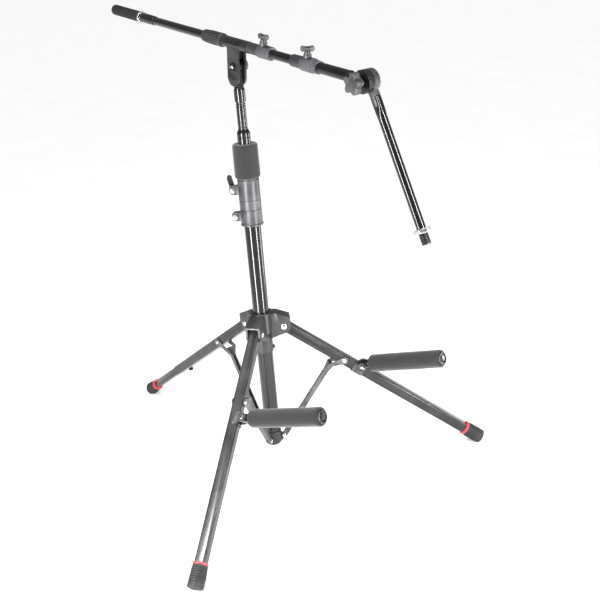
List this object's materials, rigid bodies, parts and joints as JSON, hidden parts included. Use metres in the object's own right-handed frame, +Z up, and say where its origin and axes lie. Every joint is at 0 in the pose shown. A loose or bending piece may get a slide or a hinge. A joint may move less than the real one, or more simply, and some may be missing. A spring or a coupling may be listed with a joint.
{
  "type": "boom microphone stand",
  "caption": "Folding tripod microphone stand with a height-adjustable mast, tilting counterweighted boom, elbowed end arm and padded support arms.",
  "frame": {"origin": "on the floor under the middle of the stand's outline; the mast's axis stands at x = 0, y = -0.0266 m", "axes": "+Z up along the mast; -Y is the side that the boom's end arm and the padded arms reach towards; +X is the stand's right seen from behind the rear leg"},
  "size_m": [0.7518, 0.9802, 0.9304],
  "materials": {
    "black_tube": "black powder coat, semi-gloss",
    "leg_coat": "black powder coat, semi-gloss",
    "black_bracket": "black satin coat",
    "hub_casting": "dark grey satin cast shell",
    "clamp_plastic": "dark grey glass-filled nylon",
    "black_plastic": "black nylon",
    "grip_foam": "charcoal closed-cell foam",
    "foot_rubber": "black rubber",
    "red_ring": "red plastic ring",
    "bright_steel": "nickel-plated steel",
    "friction_fibre": "grey friction washer"
  },
  "bodies": {
    "mast": {"mast_tube": "black_tube", "strut_bracket": "black_bracket", "strut_base_pins": "bright_steel", "mast_clamp_body": "clamp_plastic", "mast_clamp_bands": "clamp_plastic", "mast_clamp_bolts": "bright_steel"},
    "mast_lever": {"mast_clamp_lever": "black_plastic"},
    "riser": {"riser_tube": "black_tube", "riser_guide": "black_plastic", "mast_pad": "grip_foam"},
    "hub": {"leg_hub": "hub_casting", "hub_screw": "bright_steel", "leg_pivot_pins": "bright_steel"},
    "leg_left": {"leg_tube_left": "leg_coat", "foot_left": "foot_rubber", "foot_ring_left": "red_ring", "arm_bracket_left": "black_bracket", "arm_bolt_left": "bright_steel"},
    "leg_right": {"leg_tube_right": "leg_coat", "foot_right": "foot_rubber", "foot_ring_right": "red_ring", "arm_bracket_right": "black_bracket", "arm_bolt_right": "bright_steel"},
    "leg_rear": {"leg_tube_rear": "leg_coat"},
    "rear_knob": {"rear_leg_knob": "black_plastic"},
    "rear_extension": {"rear_extension": "leg_coat", "foot_rear": "foot_rubber", "foot_ring_rear": "red_ring"},
    "strut_left": {"strut_left": "black_bracket", "strut_pin_left": "bright_steel"},
    "strut_right": {"strut_right": "black_bracket", "strut_pin_right": "bright_steel"},
    "strut_rear": {"strut_rear": "black_bracket", "strut_pin_rear": "bright_steel"},
    "arm_left": {"arm_tube_left": "black_tube", "arm_grip_left": "grip_foam", "arm_cap_left": "black_plastic"},
    "arm_right": {"arm_tube_right": "black_tube", "arm_grip_right": "grip_foam", "arm_cap_right": "black_plastic"},
    "yoke": {"yoke": "black_tube", "tilt_washers": "friction_fibre"},
    "boom_sleeve": {"boom_sleeve": "black_bracket", "tilt_bolt": "bright_steel", "boom_clamp": "clamp_plastic"},
    "tilt_lever": {"tilt_lever": "clamp_plastic"},
    "rear_clutch": {"rear_clutch": "clamp_plastic"},
    "boom_clamp_knob": {"boom_clamp_knob": "clamp_plastic"},
    "boom_tube": {"boom_tube": "black_tube", "counterweight": "black_bracket", "weight_collar": "bright_steel"},
    "front_boom": {"front_clamp": "clamp_plastic", "front_tube": "black_tube", "elbow_base": "black_bracket", "elbow_washer": "bright_steel"},
    "front_clamp_knob": {"front_clamp_knob": "clamp_plastic"},
    "end_arm": {"elbow_disc": "black_bracket", "end_arm": "black_tube", "mic_stud": "bright_steel"},
    "elbow_knob": {"elbow_knob": "clamp_plastic"}
  },
  "joints": [
    {"name": "tripod_fold", "type": "slide", "parent": "mast", "child": "hub", "axis": [0, 0, 1], "range_m": [0, 0.106]},
    {"name": "leg_left_fold", "type": "hinge", "parent": "hub", "child": "leg_left", "pos_m": [-0.03494, -0.04987, 0.315], "axis": [0.5548, -0.832, 0], "range_deg": [-0.01, 52.39]},
    {"name": "strut_left_fold", "type": "hinge", "parent": "mast", "child": "strut_left", "pos_m": [-0.01913, -0.03933, 0.066], "axis": [-0.5548, 0.832, 0], "range_deg": [-0.01, 35.12]},
    {"name": "leg_right_fold", "type": "hinge", "parent": "hub", "child": "leg_right", "pos_m": [0.03494, -0.04987, 0.315], "axis": [0.5548, 0.832, 0], "range_deg": [-0.01, 52.39]},
    {"name": "strut_right_fold", "type": "hinge", "parent": "mast", "child": "strut_right", "pos_m": [0.01913, -0.03933, 0.066], "axis": [-0.5548, -0.832, 0], "range_deg": [-0.01, 35.12]},
    {"name": "leg_rear_fold", "type": "hinge", "parent": "hub", "child": "leg_rear", "pos_m": [0, 0.01544, 0.315], "axis": [-1, 0, 0], "range_deg": [-0.01, 56.49]},
    {"name": "strut_rear_fold", "type": "hinge", "parent": "mast", "child": "strut_rear", "pos_m": [0, -0.00357, 0.066], "axis": [1, 0, 0], "range_deg": [-0.01, 32.62]},
    {"name": "rear_leg_reach", "type": "slide", "parent": "leg_rear", "child": "rear_extension", "axis": [0, 0.8337, -0.5522], "range_m": [-0.12, 0.02]},
    {"name": "rear_leg_knob_turn", "type": "hinge", "parent": "leg_rear", "child": "rear_knob", "pos_m": [0, 0.31224, 0.11842], "axis": [1, 0, 0], "range_deg": [-90, 90]},
    {"name": "arm_left_swing", "type": "hinge", "parent": "leg_left", "child": "arm_left", "pos_m": [-0.14848, -0.15094, 0.21055], "axis": [0.687, -0.0211, -0.7263], "range_deg": [-15, 62]},
    {"name": "arm_right_swing", "type": "hinge", "parent": "leg_right", "child": "arm_right", "pos_m": [0.15491, -0.14926, 0.21627], "axis": [0.7517, 0.356, 0.5551], "range_deg": [-15, 42]},
    {"name": "mast_lever_turn", "type": "hinge", "parent": "mast", "child": "mast_lever", "pos_m": [-0.02463, -0.00733, 0.599], "axis": [-0.6157, -0.788, 0], "range_deg": [0, 90]},
    {"name": "mast_height", "type": "slide", "parent": "mast", "child": "riser", "axis": [0, 0, 1], "range_m": [0, 0.3]},
    {"name": "boom_swivel", "type": "hinge", "parent": "riser", "child": "yoke", "pos_m": [0, -0.02656, 0.761], "axis": [0, 0, 1], "continuous": true},
    {"name": "boom_tilt", "type": "hinge", "parent": "yoke", "child": "boom_sleeve", "pos_m": [0, -0.02656, 0.829], "axis": [-1, 0, 0], "range_deg": [-30, 60]},
    {"name": "tilt_lever_turn", "type": "hinge", "parent": "boom_sleeve", "child": "tilt_lever", "pos_m": [0, -0.02656, 0.829], "axis": [1, 0, 0], "range_deg": [-90, 90]},
    {"name": "rear_clutch_turn", "type": "hinge", "parent": "boom_sleeve", "child": "rear_clutch", "pos_m": [0, -0.03133, 0.86841], "axis": [0, -0.9928, -0.1201], "range_deg": [-90, 90]},
    {"name": "boom_reach", "type": "slide", "parent": "boom_sleeve", "child": "boom_tube", "axis": [0, -0.9928, -0.1201], "range_m": [-0.055, 0.16]},
    {"name": "boom_clamp_knob_turn", "type": "hinge", "parent": "boom_sleeve", "child": "boom_clamp_knob", "pos_m": [0, -0.11175, 0.85868], "axis": [0, -0.1201, 0.9928], "range_deg": [-90, 90]},
    {"name": "front_tube_reach", "type": "slide", "parent": "boom_tube", "child": "front_boom", "axis": [0, -0.9928, -0.1201], "range_m": [0, 0.04]},
    {"name": "front_knob_turn", "type": "hinge", "parent": "front_boom", "child": "front_clamp_knob", "pos_m": [0, -0.23088, 0.84427], "axis": [0, -0.1201, 0.9928], "range_deg": [-90, 90]},
    {"name": "end_arm_tilt", "type": "hinge", "parent": "front_boom", "child": "end_arm", "pos_m": [0, -0.37483, 0.82685], "axis": [-1, 0, 0], "range_deg": [-30, 90]},
    {"name": "elbow_knob_turn", "type": "hinge", "parent": "end_arm", "child": "elbow_knob", "pos_m": [0, -0.37483, 0.82685], "axis": [1, 0, 0], "range_deg": [-90, 90]}
  ],
  "couplings": [
    {"joint": "leg_left_fold", "follows": "tripod_fold", "rad_per_m": 8.6238},
    {"joint": "strut_left_fold", "follows": "tripod_fold", "rad_per_m": 5.7813},
    {"joint": "leg_right_fold", "follows": "tripod_fold", "rad_per_m": 8.6238},
    {"joint": "strut_right_fold", "follows": "tripod_fold", "rad_per_m": 5.7813},
    {"joint": "leg_rear_fold", "follows": "tripod_fold", "rad_per_m": 9.3},
    {"joint": "strut_rear_fold", "follows": "tripod_fold", "rad_per_m": 5.3687}
  ]
}
